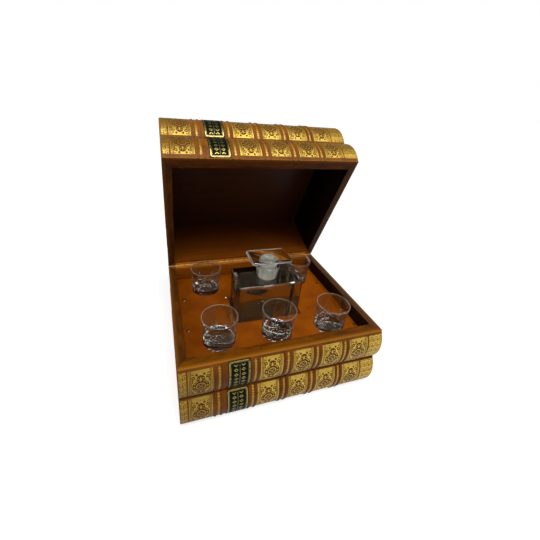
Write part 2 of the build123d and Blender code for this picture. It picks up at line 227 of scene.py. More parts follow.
def leatherGrain(tree, place, size, depth, hide):  # bump of pebbles, with creases between them
    cells = add(tree, "TexVoronoi", place, Scale=per(size), out="Distance")
    creases = add(tree, "TexNoise", place, Scale=0.22 * per(size), Detail=4.0)
    height = add(tree, "Math", cells, creases, hide, operation="MULTIPLY_ADD")
    return add(tree, "Bump", Strength=0.5, Distance=depth * mm, Height=height, out="Normal")


cloth = {
    "tones": ("#783702", "#8f4803"),
    "cloud": 35.7,  # sizes in millimetres
    "fleck": 1.54,
    "grain": (0.9, 0.05),
    "fleckLevel": (0.82, 1.14),
    "shadeToLeft": (-0.12, 0.12, 0.74, 1.12),  # painted shade: darker at the left end than at the right
    # a painted shadow line along the walls: how far in it reaches, and how dark
    "shadeLineReach": (0.6, 1.8),
    "shadeLineLevel": 0.2,
    "rough": (0.36, 0.5),
}


def leathercloth(name):
    # smooth vinyl on cloth: an even satin, faintly mottled, with painted shade to the left and
    # along the walls
    material, tree = newMaterial(name)
    place = add(tree, "TexCoord", out="Object")
    axes = add(tree, "SeparateXYZ", place, out="X").node.outputs
    cloud = add(tree, "TexNoise", place, Scale=per(cloth["cloud"]), Detail=5.0, Roughness=0.6)
    fleck = add(tree, "TexNoise", place, Scale=per(cloth["fleck"]), Detail=3.0)
    tan = add(tree, "MixRGB", add(tree, "MapRange", cloud, 0.35, 0.68, 0, 1), *cloth["tones"])
    level = add(tree, "MapRange", fleck, 0.3, 0.7, *cloth["fleckLevel"])
    # painted shade towards the left end
    shadeToLeft = add(tree, "MapRange", axes["X"], *cloth["shadeToLeft"])
    level = add(tree, "Math", level, shadeToLeft, operation="MULTIPLY")
    # painted shadow: a dark line along the walls
    side = add(tree, "Math", axes["X"], operation="ABSOLUTE")
    side = add(tree, "Math", case["innerRight"], side, operation="SUBTRACT")
    front = add(tree, "Math", axes["Y"], case["innerFront"], operation="SUBTRACT")
    back = add(tree, "Math", case["innerBack"], axes["Y"], operation="SUBTRACT")
    fromWall = tally(tree, [side, front, back], "MINIMUM")
    near, far = cloth["shadeLineReach"]
    shadeLine = add(tree, "MapRange", fromWall, near * mm, far * mm, cloth["shadeLineLevel"], 1)
    level = add(tree, "Math", level, shadeLine, operation="MULTIPLY")
    shade = add(tree, "MixRGB", 1.0, tan, level, blend_type="MULTIPLY")
    polish = add(tree, "MapRange", cloud, 0.3, 0.7, *cloth["rough"])
    bump = leatherGrain(tree, place, *cloth["grain"], fleck)
    return waxed(material, shade, polish, 0.08, bump)


# each wall's rim (two tones of the figure, its stain, and its edge, lighter from rubbing and as
# a painted highlight), its inside at the rim, and its inside as many millimetres down as the
# number says, where painted shade has darkened it
# the same beech on every wall, its tones set wall by wall as painted light and shade
walls = {
    "base_front": [("#5e2e02", "#784605", "#3a1a02", "#94590f"), ("#3a1a08", "#5a2c0e"),
                   ("#2a1206", 40)],
    "base_back": [("#764009", "#9a5c14", "#5a2c06", "#a0661a"), ("#7c3c06", "#964e0a"),
                  ("#5a2c06", 30)],
    "base_left": [("#4a2606", "#60350a", "#2c1404", "#7a4a12"), ("#1c0c06", "#30160a"),
                  ("#140804", 30)],
    "base_right": [("#4c2c12", "#62401e", "#301a0a", "#76502c"), ("#1a0b06", "#2a130a"),
                   ("#120704", 30)],
    "lid_front": [("#4a2104", "#68360a", "#2c1403", "#7a4210"), ("#3a1a08", "#5a2c0e"),
                  ("#1a0b04", 40)],
    "lid_back": [("#764009", "#9a5c14", "#5a2c06", "#a0661a"), ("#6a3303", "#804408"),
                 ("#4e2204", 70)],
    "lid_left": [("#48260a", "#5e340c", "#2a1404", "#70420f"), ("#2c1206", "#441e0a"),
                 ("#120602", 50)],
    "lid_right": [("#40220a", "#523010", "#261204", "#644020"), ("#180a04", "#241206"),
                  ("#0c0402", 50)],
}
beech = {
    "figure": 5.88,  # sizes in millimetres
    "pore": 1.11,  # coarser than real pores, to show at all
    "smear": 14.3,
    "stretch": (0.06, 0.3),  # how slowly the figure and the smears change along the grain
    # the rubbed edge: wear and a painted highlight
    "rubbedAndHighlit": (0.5, 4),  # in from the outer edge
    "stained": (2, 7),
    "rimDepth": 0.4,
    "skin": 0.9,  # the leather that covers the outside faces
    "hide": 16.7,
    "hideTones": ("#4a2208", "#733c10"),
    "rough": (0.34, 0.5),
}


def caseWood(name, wall):
    # brown-stained beech under wax, darker with handling, and leather over the outside faces;
    # its edge has a painted highlight, and its inside painted shade that deepens downwards
    material, tree = newMaterial(name)
    rimTones, insideTones, (paintedShadeTone, deepest) = walls[wall]
    opened = wall.startswith("lid")
    place = shutPlace(tree, opened)
    axes = add(tree, "SeparateXYZ", place, out="X").node.outputs
    alongX = wall.endswith(("front", "back"))
    stretched, smeared = [
        add(tree, "Mapping", place, Scale=(stretch, 1, 1) if alongX else (1, stretch, 1))
        for stretch in beech["stretch"]
    ]
    figure = add(tree, "TexNoise", stretched, Scale=per(beech["figure"]), Detail=6.0,
                 Roughness=0.65)
    pores = add(tree, "TexNoise", stretched, Scale=per(beech["pore"]), Detail=2.0)
    smear = add(tree, "TexNoise", smeared, Scale=per(beech["smear"]), Detail=5.0, Roughness=0.7)

    edges = []
    for axis, outer in (("X", case["right"]), ("Y", case["back"])):
        out = add(tree, "Math", axes[axis], operation="ABSOLUTE")
        edges.append(add(tree, "Math", outer, out, operation="SUBTRACT"))
    fromEdge = add(tree, "Math", *edges, operation="MINIMUM")
    band = add(tree, "MapRange", figure, 0.3, 0.7, 0.15, 0.85)
    rim = add(tree, "MixRGB", band, *rimTones[:2])
    near, far = beech["stained"]
    stained = add(tree, "MapRange", fromEdge, near * mm, far * mm, 0.1, 1)
    stained = add(tree, "Math", add(tree, "MapRange", smear, 0.42, 0.6, 0, 0.75), stained,
                  operation="MULTIPLY")
    rim = add(tree, "MixRGB", stained, rim, rimTones[2])
    # rubbed wear and a painted highlight: the outer edge lighter
    near, far = beech["rubbedAndHighlit"]
    rubbedAndHighlit = add(tree, "MapRange", fromEdge, near * mm, far * mm, 0.6, 0)
    rim = add(tree, "MixRGB", rubbedAndHighlit, rim, rimTones[3])

    rimLevel = case["lidRim"] if opened else case["baseRim"]
    atRim = add(tree, "Math", axes["Z"], rimLevel, beech["rimDepth"] * mm, operation="COMPARE")
    # painted shade: the inside darker the deeper it goes
    depth = apart(tree, axes["Z"], rimLevel)
    depth = add(tree, "MapRange", depth, 0, deepest * mm, 0, 1)
    inside = add(tree, "MixRGB", band, *insideTones)
    inside = add(tree, "MixRGB", depth, inside, paintedShadeTone)
    wood = add(tree, "MixRGB", atRim, inside, rim)
    outside = add(tree, "Math", fromEdge, beech["skin"] * mm, operation="LESS_THAN")
    outside = add(tree, "Math", outside, atRim, operation="SUBTRACT", use_clamp=True)
    hide = add(tree, "TexNoise", place, Scale=per(beech["hide"]), Detail=6.0)
    leather = add(tree, "MixRGB", hide, *beech["hideTones"])
    shade = add(tree, "MixRGB", outside, wood, leather)
    height = add(tree, "Math", pores, figure, operation="ADD")
    bump = add(tree, "Bump", Strength=0.3, Distance=0.05 * mm, Height=height, out="Normal")
    polish = add(tree, "MapRange", smear, 0.3, 0.7, *beech["rough"])
    return waxed(material, shade, polish, 0.08, bump)


boards = {
    "dark_stained_lid_panel": {"tones": ("#280f04", "#42200b"), "nodes": ["lid_top_board"]},
    "dark_stained_boards": {
        "tones": ("#120a06", "#20130c"),
        "nodes": ["bottom_board", "glass_shelf", "tray_left_cleat", "tray_right_cleat",
                  "shelf_left_batten", "shelf_right_batten"],
    },
    "brown_stained_well_boards": {
        "tones": ("#4c301a", "#6c4628"),
        "nodes": ["well_front_board", "well_back_board", "well_left_board", "well_right_board"],
    },
}
coreTones = ("#8a6238", "#b08a58")
boardFigure = {"width": 6.67, "stretch": 0.07}


def stainedBoard(name, opened, tones):  # thin board with its grain along x, stained and waxed
    material, tree = newMaterial(name)
    place = shutPlace(tree, opened)
    stretched = add(tree, "Mapping", place, Scale=(boardFigure["stretch"], 1.0, 1.0))
    figure = add(tree, "TexNoise", stretched, Scale=per(boardFigure["width"]), Detail=6.0,
                 Roughness=0.6)
    shade = add(tree, "MixRGB", figure, *tones)
    bump = add(tree, "Bump", Strength=0.3, Distance=0.05 * mm, Height=figure, out="Normal")
    polish = add(tree, "MapRange", figure, 0.3, 0.7, 0.33, 0.48)
    return waxed(material, shade, polish, 0.25, bump)


calf = {
    "tones": ("#5a3208", "#804c10"),
    "cloud": 31.25,  # sizes in millimetres
    "grain": (0.8, 0.12),
    "rough": (0.42, 0.58),
}


def coverLeather(name, opened):  # brown calf, rubbed lighter in patches
    material, tree = newMaterial(name)
    place = shutPlace(tree, opened)
    cloud = add(tree, "TexNoise", place, Scale=per(calf["cloud"]), Detail=7.0, Roughness=0.7)
    shade = add(tree, "MixRGB", add(tree, "MapRange", cloud, 0.3, 0.72, 0, 1), *calf["tones"])
    bump = leatherGrain(tree, place, *calf["grain"], cloud)
    polish = add(tree, "MapRange", cloud, 0.3, 0.7, *calf["rough"])
    return waxed(material, shade, polish, 0.15, bump)


# the spines: brown leather with gold tooling, all lengths in millimetres
spine = {
    "bulge": 8.4,
    "bookEdges": {
        "base_lower": (0.0, 50.0), "base_upper": (50.0, 100.0),
        "lid_inner": (100.3, 148.4), "lid_outer": (148.4, 196.5),
    },
    "panels": [(-128.7, -100.0), (-41.3, -11.7), (2.7, 30.6), (44.2, 73.5), (85.7, 114.6)],
    "endPanels": [(-139.0, -130.8), (117.0, 138.6)],
    "panelReach": {"base_lower": (-23.6, 23.6), "base_upper": (-23.6, 21.8),
                   "lid_inner": (-20.6, 23.0), "lid_outer": (-23.2, 23.2)},
    "medallionLow": {"base_lower": 0.0, "base_upper": 0.0, "lid_inner": 1.8, "lid_outer": 3.0},
    "strips": [-92.3, -47.8, -4.6, 36.8, 78.8],
    "stripHalf": (0.45, 1.6),  # between two beads, and at the middle of one
    "bead": 3.8,
    "hatch": 1.848,
    "joint": (24.8, 26.0),  # painted shade in the groove where two books meet
    "rimEdgeHighlight": (24.6, 25.6),  # the leather's edge at the rim, lighter as a painted highlight
    "rimSide": {"base_lower": 0, "base_upper": 1, "lid_inner": -1, "lid_outer": 0},
    # the same calf on all four books, drawn lighter on the lid's as painted light
    "tones": {"base": ("#5a2e04", "#7c440a"), "lid": ("#6a3a08", "#945a16")},
    "tooledTone": "#3c2004",
    "jointShadeTone": "#241202",
    "rimEdgeHighlightTone": "#94601c",
    "gold": ("#a8862c", "#eac85e"),
    "goldShadeToLeft": (-130, -40, 0.66, 1),  # painted shade: the gold darker towards the left end
    "rub": 2.38,
    "cloud": 22.2,
    "grain": 0.91,
}
# what is left bare of gold in a panel, from its middle and the same on all four sides:
# discs by place and radius, bars by place, angle, length and width
medallionShape = {
    "bareDiscs": [(0, 0, 10.0), (0, 11.0, 4.7), (8.4, 13.2, 2.2), (4.4, 16.6, 1.5)],
    "bareBars": [(9.6, 9.4, 90, 6.0, 1.2), (9.0, 17.4, 30, 3.0, 1.1)],
    "giltRing": (5.0, 0.55),
    "giltDiscs": [(0, 0, 0.9), (7.6, 0, 1.15), (7.0, 4.7, 0.85), (0, 9.4, 1.5), (0, 11.2, 1.0),
                  (0, 12.5, 0.6), (2.9, 11.6, 0.8), (8.4, 13.2, 0.9)],
    "giltBars": [(1.7, 1.7, 45, 1.8, 0.8), (4.5, 7.2, -36, 4.2, 0.9)],
    "fillets": [(12.9, 0.4), (11.3, 0.45)],
    "dotPitch": 1.5,
    "dotHalf": 0.3,
    "dotsFrom": 17.6,
    "dotShare": 0.7,
}
# the scroll of the end panels, repeated: rings by place, radius and half their width
scroll = {
    "start": (-1.7, -60.0),
    "pitch": (8.0, 9.0),
    "rings": [((2.6, 4.5, 0), 2.6, 0.4), ((2.6, 4.5, 0), 0.0, 0.8), ((6.4, 1.6, 0), 1.5, 0.4)],
}


def spinePlace(tree, book, opened):  # x and the way round the spine, both in millimetres
    low, high = (edge * mm for edge in spine["bookEdges"][book])
    half, bulge = (high - low) / 2, spine["bulge"] * mm
    radius = (half * half + bulge ** 2) / (2 * bulge)
    place = shutPlace(tree, opened)
    axes = add(tree, "SeparateXYZ", place, out="X").node.outputs
    x = add(tree, "Math", axes["X"], 1 / mm, operation="MULTIPLY")
    forward = add(tree, "Math", case["front"] - bulge + radius, axes["Y"],
                  operation="SUBTRACT")
    upward = add(tree, "Math", axes["Z"], (low + high) / 2, operation="SUBTRACT")
    angle = add(tree, "Math", upward, forward, operation="ARCTAN2")
    around = add(tree, "Math", angle, radius / mm, operation="MULTIPLY")
    return place, x, around


def medallion(tree, u, v):  # 1 on bare leather, u and v in millimetres from the panel's middle
    side = add(tree, "Math", u, operation="ABSOLUTE")
    rise = add(tree, "Math", v, operation="ABSOLUTE")
    spot = add(tree, "CombineXYZ", side, rise)

    def disc(x, y, radius):
        away = add(tree, "VectorMath", spot, (x, y, 0), operation="DISTANCE", out="Value")
        return add(tree, "Math", away, radius, operation="LESS_THAN")

    def bar(x, y, angle, long, thick):
        along = (math.cos(math.radians(angle)), math.sin(math.radians(angle)), 0)
        over = (-along[1], along[0], 0)
        fromEnd = add(tree, "VectorMath", spot, along, operation="DOT_PRODUCT", out="Value")
        fromAxis = add(tree, "VectorMath", spot, over, operation="DOT_PRODUCT", out="Value")
        middle = (x * along[0] + y * along[1], x * over[0] + y * over[1])
        return add(tree, "Math",
                   add(tree, "Math", fromEnd, middle[0], long / 2, operation="COMPARE"),
                   add(tree, "Math", fromAxis, middle[1], thick / 2, operation="COMPARE"),
                   operation="MULTIPLY")

    shape = medallionShape
    bare = tally(tree, [disc(*row) for row in shape["bareDiscs"]]
                 + [bar(*row) for row in shape["bareBars"]])
    fromMiddle = add(tree, "VectorMath", spot, operation="LENGTH", out="Value")
    ring = add(tree, "Math", fromMiddle, *shape["giltRing"], operation="COMPARE")
    gilt = tally(tree, [ring] + [disc(*row) for row in shape["giltDiscs"]]
                 + [bar(*row) for row in shape["giltBars"]])
    bare = add(tree, "Math", bare, gilt, operation="SUBTRACT", use_clamp=True)
    fillets = [add(tree, "Math", side, *row, operation="COMPARE") for row in shape["fillets"]]
    dots = add(tree, "Math", rise, shape["dotsFrom"], operation="GREATER_THAN")
    for way in (side, rise):
        step = add(tree, "Math", way, shape["dotPitch"], operation="MODULO")
        step = add(tree, "Math", step, shape["dotPitch"] / 2, shape["dotHalf"],
                   operation="COMPARE")
        dots = add(tree, "Math", dots, step, operation="MULTIPLY")
    dots = add(tree, "Math", dots, shape["dotShare"], operation="MULTIPLY")
    return tally(tree, [bare, dots] + fillets)


def between(tree, value, ends):  # for each pair of ends, a mask that is 1 from one to the other
    return [add(tree, "Math", value, (low + high) / 2, (high - low) / 2, operation="COMPARE")
            for low, high in ends]


def panelGold(tree, book, x, around):  # the gilt panels, and a mask of all that is in them
    masks, offsets = between(tree, x, spine["panels"]), []
    for mask, (low, high) in zip(masks, spine["panels"]):
        offset = add(tree, "Math", x, (low + high) / 2, operation="SUBTRACT")
        offsets.append(add(tree, "Math", offset, mask, operation="MULTIPLY"))
    inPanel = tally(tree, masks)
    lowered = add(tree, "Math", around, spine["medallionLow"][book], operation="ADD")
    bare = medallion(tree, tally(tree, offsets, "ADD"), lowered)
    return add(tree, "Math", inPanel, bare, operation="SUBTRACT", use_clamp=True), inPanel


def endGold(tree, x, around):
    inPanel = tally(tree, between(tree, x, spine["endPanels"]))
    across = apart(tree, x, scroll["start"][0])
    across = add(tree, "Math", across, scroll["pitch"][0], operation="MODULO")
    upward = add(tree, "Math", around, scroll["start"][1], operation="SUBTRACT")
    upward = add(tree, "Math", upward, scroll["pitch"][1], operation="MODULO")
    spot = add(tree, "CombineXYZ", across, upward)
    lines = []
    for middle, radius, half in scroll["rings"]:
        away = add(tree, "VectorMath", spot, middle, operation="DISTANCE", out="Value")
        lines.append(add(tree, "Math", away, radius, half, operation="COMPARE"))
    return add(tree, "Math", inPanel, tally(tree, lines), operation="SUBTRACT", use_clamp=True)


def stripGold(tree, x, around):  # beaded strips between the raised bands, hatched on a slant
    bead = add(tree, "Math", around, math.pi / spine["bead"], operation="MULTIPLY")
    bead = add(tree, "Math", bead, operation="COSINE")
    bead = add(tree, "Math", bead, operation="ABSOLUTE")
    half = add(tree, "MapRange", bead, 0, 1, *spine["stripHalf"])
    masks = [add(tree, "Math", apart(tree, x, middle), half, operation="LESS_THAN")
             for middle in spine["strips"]]
    slant = add(tree, "Math", x, around, operation="ADD")
    slant = add(tree, "Math", slant, 2 * math.pi / spine["hatch"], operation="MULTIPLY")
    slant = add(tree, "Math", slant, operation="COSINE")
    slant = add(tree, "Math", slant, -0.45, operation="GREATER_THAN")
    return add(tree, "Math", tally(tree, masks), slant, operation="MULTIPLY")


def gilded(material, hide, gloss, bump, gold, goldShare):  # leather with gold leaf on it
    tree = material.node_tree
    leather = add(tree, "BsdfPrincipled", Base_Color=hide, Roughness=0.45, IOR=1.45,
                  Specular_IOR_Level=gloss, Normal=bump)
    add(tree, "OutputMaterial", add(tree, "MixShader", goldShare, leather, gold))
    return material


def giltLeather(name, book, opened):
    # polished brown calf: gold leaf tooled in panels, rubbed thin where hands wear it
    material, tree = newMaterial(name)
    place, x, around = spinePlace(tree, book, opened)
    reach = between(tree, around, [spine["panelReach"][book]])[0]
    panels, inPanel = panelGold(tree, book, x, around)
    drawn = tally(tree, [panels, endGold(tree, x, around), stripGold(tree, x, around)])
    drawn = add(tree, "Math", drawn, reach, operation="MULTIPLY")
    rub = add(tree, "TexNoise", place, Scale=per(spine["rub"]), Detail=5.0, Roughness=0.7)
    kept = add(tree, "MapRange", rub, 0.36, 0.44, 0.25, 1)
    goldShare = add(tree, "Math", drawn, kept, operation="MULTIPLY")

    cloud = add(tree, "TexNoise", place, Scale=per(spine["cloud"]), Detail=6.0, Roughness=0.65)
    hide = add(tree, "MixRGB", add(tree, "MapRange", cloud, 0.32, 0.7, 0, 1),
               *spine["tones"]["lid" if opened else "base"])
    tooled = add(tree, "Math", inPanel, reach, operation="MULTIPLY")
    tooled = add(tree, "Math", tooled, 0.5, operation="MULTIPLY")
    hide = add(tree, "MixRGB", tooled, hide, spine["tooledTone"])
    fromMiddle = add(tree, "Math", around, operation="ABSOLUTE")
    # painted shade in the groove between two books
    joint = add(tree, "MapRange", fromMiddle, *spine["joint"], 0, 0.85)
    hide = add(tree, "MixRGB", joint, hide, spine["jointShadeTone"])
    toRim = add(tree, "Math", around, spine["rimSide"][book], operation="MULTIPLY")
    # painted highlight on the leather's edge at the rim
    rimEdgeHighlight = add(tree, "MapRange", toRim, *spine["rimEdgeHighlight"], 0, 1)
    hide = add(tree, "MixRGB", rimEdgeHighlight, hide, spine["rimEdgeHighlightTone"])
    goldTone = add(tree, "MixRGB", cloud, *spine["gold"])
    # painted shade on the gold towards the left end
    goldShadeToLeft = add(tree, "MapRange", x, *spine["goldShadeToLeft"])
    goldTone = add(tree, "MixRGB", 1.0, goldTone, goldShadeToLeft, blend_type="MULTIPLY")
    grain = add(tree, "TexVoronoi", place, Scale=per(spine["grain"]), out="Distance")
    height = add(tree, "Math", goldShare, -0.5, grain, operation="MULTIPLY_ADD")
    bump = add(tree, "Bump", Strength=0.35, Distance=0.12 * mm, Height=height, out="Normal")
    gold = add(tree, "BsdfPrincipled", Base_Color=goldTone, Roughness=0.48, Metallic=0.9,
               Normal=bump)
    return gilded(material, hide, 0.14, bump, gold, goldShare)


# the title labels: lengths in millimetres, from a label's middle or from its edge
label = {
    "halfHigh": 24.6,
    "corner": 4.0,
    "fillets": [(1.45, 0.65), (2.8, 0.2)],
    "rule": 0.22,
    "rows": 4.6,
    "rowEnd": 19.5,
    "pitch": 6.4,
    "lozenge": (1.7, 0.6),
    "squat": 0.8,
    "tones": ("#080d04", "#141c0c"),
    "around": "#5a2e08",
    "gold": "#a8965a",
    "rub": 2.63,
    "cloud": 16.7,
    "grain": 0.77,
}


def labelLeather(name, book, opened):
    # thin black-green skiver: a double gold fillet round its edge, rows of lozenges, no title
    material, tree = newMaterial(name)
    place, x, around = spinePlace(tree, book, opened)
    low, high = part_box(book + "_label")
    middle, half = (low.x + high.x) / 2 / mm, (high.x - low.x) / 2 / mm
    side = apart(tree, x, middle)
    rise = add(tree, "Math", around, operation="ABSOLUTE")
    corner = label["corner"]
    overSide = add(tree, "Math", side, half - corner, operation="SUBTRACT")
    overSide = add(tree, "Math", overSide, 0, operation="MAXIMUM")
    overEnd = add(tree, "Math", rise, label["halfHigh"] - corner, operation="SUBTRACT")
    overEnd = add(tree, "Math", overEnd, 0, operation="MAXIMUM")
    over = add(tree, "VectorMath", add(tree, "CombineXYZ", overSide, overEnd),
               operation="LENGTH", out="Value")
    inset = add(tree, "Math", corner, over, operation="SUBTRACT")
    onLabel = add(tree, "Math", inset, 0, operation="GREATER_THAN")

    pitch = label["pitch"]
    step = add(tree, "Math", rise, pitch / 2, operation="ADD")
    step = apart(tree, add(tree, "Math", step, pitch, operation="MODULO"), pitch / 2)
    fromRow = apart(tree, side, label["rows"])
    lozenge = add(tree, "Math", fromRow, label["squat"], step, operation="MULTIPLY_ADD")
    lozenge = add(tree, "Math", lozenge, *label["lozenge"], operation="COMPARE")
    rule = add(tree, "Math", side, label["rule"], operation="LESS_THAN")
    inRows = add(tree, "Math", rise, label["rowEnd"], operation="LESS_THAN")
    inner = add(tree, "Math", tally(tree, [lozenge, rule]), inRows, operation="MULTIPLY")
    lines = tally(tree, [inner] + [add(tree, "Math", inset, *row, operation="COMPARE")
                                   for row in label["fillets"]])
    rub = add(tree, "TexNoise", place, Scale=per(label["rub"]), Detail=5.0, Roughness=0.7)
    kept = add(tree, "MapRange", rub, 0.38, 0.46, 0.1, 1)
    goldShare = add(tree, "Math", lines, kept, operation="MULTIPLY")

    cloud = add(tree, "TexNoise", place, Scale=per(label["cloud"]), Detail=5.0)
    skiver = add(tree, "MixRGB", cloud, *label["tones"])
    hide = add(tree, "MixRGB", onLabel, label["around"], skiver)
    grain = add(tree, "TexVoronoi", place, Scale=per(label["grain"]), out="Distance")
    bump = add(tree, "Bump", Strength=0.35, Distance=0.1 * mm, Height=grain, out="Normal")
    gold = add(tree, "BsdfPrincipled", Base_Color=label["gold"], Roughness=0.36,
               Metallic=1.0, Normal=bump)
    return gilded(material, hide, 0.05, bump, gold, goldShare)


metals = {
    "brown_lacquered_brass": {
        "tones": ("#9a6420", "#e0a44c"), "rough": 0.38, "tarnish": (0.35, 0.62),
        "metallic": 0.55,  # the rest is old brown lacquer
        "nodes": ["base_hinge_screws", "lid_hinge_screws", "left_hinge_base_leaf",
                  "right_hinge_base_leaf", "left_hinge_lid_leaf", "right_hinge_lid_leaf",
                  "left_hinge_pin", "right_hinge_pin"],
    },
    "darkened_brass": {"tones": ("#453616", "#7c6230"), "rough": 0.35, "tarnish": (0.35, 0.62),
                       "metallic": 1.0, "nodes": ["tray_screws"]},
    "polished_nickel": {"tones": ("#8e8e8c", "#d8d8d4"), "rough": 0.12, "tarnish": (0.3, 0.5),
                        "metallic": 1.0, "nodes": ["well_corner_pin"]},
}
metalPattern = {"patch": 3.85, "scratch": 0.667, "roughSpread": 0.18}


def wornMetal(name):  # drawn and pressed fittings, tarnished in patches and finely scratched
    metal = metals[name]
    material, tree = newMaterial(name)
    place = add(tree, "TexCoord", out="Object")
    patch = add(tree, "TexNoise", place, Scale=per(metalPattern["patch"]), Detail=5.0,
                Roughness=0.6)
    shade = add(tree, "MixRGB", add(tree, "MapRange", patch, *metal["tarnish"], 0, 1),
                *metal["tones"])
    rough = metal["rough"]
    polish = add(tree, "MapRange", patch, 0.3, 0.7, rough, rough + metalPattern["roughSpread"])
    scratch = add(tree, "TexNoise", place, Scale=per(metalPattern["scratch"]), Detail=2.0)
    bump = add(tree, "Bump", Strength=0.2, Distance=0.03 * mm, Height=scratch, out="Normal")
    surface = add(tree, "BsdfPrincipled", Base_Color=shade, Roughness=polish,
                  Metallic=metal["metallic"], Normal=bump)
    add(tree, "OutputMaterial", surface)
    return material


felt = {"tones": ("#3a281c", "#5c4230"), "fibre": 0.714}


def darkFelt(name):  # pressed wool, deep brown, with no shine
    material, tree = newMaterial(name)
    place = add(tree, "TexCoord", out="Object")
    fibre = add(tree, "TexNoise", place, Scale=per(felt["fibre"]), Detail=4.0, Roughness=0.7)
    shade = add(tree, "MixRGB", fibre, *felt["tones"])
    bump = add(tree, "Bump", Strength=0.6, Distance=0.3 * mm, Height=fibre, out="Normal")
    surface = add(tree, "BsdfPrincipled", Base_Color=shade, Roughness=0.95,
                  Sheen_Weight=0.25, Normal=bump)
    add(tree, "OutputMaterial", surface)
    return material


glassware = {
    "tint": "#f0f4f1",
    "ior": 1.52,
    "ripple": 14.3,
    "filmTone": "#8f755c",  # dried spirit on the inside
    "foot": 17,  # height of a shot glass's solid foot, which thins out over the next few mm
    "thinning": 6,
    "thin": 0.66,  # how much of the thin wall bends no light
    # a pale layer at grazing angles and on the rim: painted reflection
    "paintedSheen": 0.28,
    "rim": (0.7, 0.3, 0.4),  # how far below its top the rim turns bright, and how bright
    "paintedSheenTone": "#d4ccba",
    "groundTone": "#d0ccc2",
    "shadows": {"bottle": "#eceeed", "bore": "#dcdcd8", "stopper": "#e4e6e4", "shot": "#f4f6f5"},
}


def fireGlass(tree, ior):  # soda-lime glass, faintly green-grey, its skin melted smooth
    place = add(tree, "TexCoord", out="Object")
    ripple = add(tree, "TexNoise", place, Scale=per(glassware["ripple"]), Detail=1.0)
    bump = add(tree, "Bump", Strength=0.03, Distance=0.2 * mm, Height=ripple, out="Normal")
    return add(tree, "BsdfPrincipled", Base_Color=glassware["tint"], Roughness=0.0, IOR=ior,
               Transmission_Weight=1.0, Normal=bump)


def groundGlass(tree):  # glass ground with emery to a fine white matt
    return add(tree, "BsdfPrincipled", Base_Color=glassware["groundTone"], Roughness=0.42,
               IOR=1.45, Transmission_Weight=0.7)


def letLight(tree, glass, kind):  # shadow rays go straight through, so light gets inside
    shadow = add(tree, "LightPath", out="Is Shadow Ray")
    through = add(tree, "BsdfTransparent", Color=glassware["shadows"][kind])
    add(tree, "OutputMaterial", add(tree, "MixShader", shadow, glass, through))


def clearGlass(name, ior, bloom):  # pressed glass, with a bloom of dried spirit where it's given
    material, tree = newMaterial(name)
    glass = fireGlass(tree, ior)
    if bloom:
        film = add(tree, "BsdfDiffuse", Color=glassware["filmTone"])
        glass = add(tree, "MixShader", bloom, glass, film)
    letLight(tree, glass, "bottle")
    return material


def groundBore(name):  # the inside of the neck, ground to fit its stopper
    material, tree = newMaterial(name)
    letLight(tree, groundGlass(tree), "bore")
    return material


def pressedGlass(name, rimHigh):
    # a heavy pressed foot that bends light, a thin wall that barely does, and a rim melted
    # round;
    # a pale layer where the wall is seen edge-on and along the rim is painted reflection
    material, tree = newMaterial(name)
    glass = fireGlass(tree, glassware["ior"])
    sheenLayer = add(tree, "BsdfPrincipled", Base_Color=glassware["paintedSheenTone"], Roughness=0.25,
               IOR=1.45, Transmission_Weight=0.45)
    through = add(tree, "BsdfTransparent", Color=glassware["shadows"]["shot"])
    height = add(tree, "Attribute", attribute_name="wall", out="Fac")
    foot, top = glassware["foot"] * mm, (glassware["foot"] + glassware["thinning"]) * mm
    thin = add(tree, "MapRange", height, foot, top, 0, glassware["thin"])
    shadow = add(tree, "LightPath", out="Is Shadow Ray")
    clear = add(tree, "Math", shadow, thin, operation="MAXIMUM")
    wall = add(tree, "MixShader", clear, glass, through)
    # painted reflection: a pale layer where the thin wall is seen edge-on, and along the rim
    paintedSheen = add(tree, "LayerWeight", Blend=0.3, out="Facing")
    paintedSheen = add(tree, "Math", paintedSheen, 3.0, operation="POWER")
    paintedSheen = add(tree, "Math", paintedSheen, thin, operation="MULTIPLY")
    paintedSheen = add(tree, "Math", paintedSheen, glassware["paintedSheen"], operation="MULTIPLY")
    low, high, share = glassware["rim"]
    rim = add(tree, "MapRange", height, rimHigh - low * mm, rimHigh - high * mm, 0, share)
    paintedSheen = add(tree, "Math", paintedSheen, rim, operation="MAXIMUM")
    unlit = add(tree, "Math", 1.0, shadow, operation="SUBTRACT")
    paintedSheen = add(tree, "Math", paintedSheen, unlit, operation="MULTIPLY")
    add(tree, "OutputMaterial", add(tree, "MixShader", paintedSheen, wall, sheenLayer))
    return material


def coat(piece, material):
    piece.data.materials.clear()
    piece.data.materials.append(material)


def dress(material, *names):
    for name in names:
        coat(nodes[name], material)


for wall in walls:
    dress(caseWood("waxed_beech_" + wall, wall), wall + "_wall")
for name, board in boards.items():
    dress(stainedBoard(name, name.endswith("lid_panel"), board["tones"]), *board["nodes"])
dress(leathercloth("tan_leathercloth"), "tray_panel")
dress(coverLeather("calf_cover_base", False), "bottom_leather")
dress(coverLeather("calf_cover_lid", True), "lid_top_leather")
for book in spine["bookEdges"]:
    opened = book.startswith("lid")
    dress(giltLeather("gilt_calf_" + book, book, opened), book + "_spine_leather")
    dress(labelLeather("skiver_label_" + book, book, opened), book + "_label")
    dress(stainedBoard("pine_core_" + book, opened, coreTones), book + "_spine_core")
for name, metal in metals.items():
    dress(wornMetal(name), *metal["nodes"])
dress(darkFelt("dark_felt"), "well_pad")
print("materials on the packed nodes")


def selectOnly(piece):
    bpy.ops.object.select_all(action="DESELECT")
    bpy.context.view_layer.objects.active = piece
    piece.select_set(True)


def edit(piece):
    selectOnly(piece)
    bpy.ops.object.mode_set(mode="EDIT")


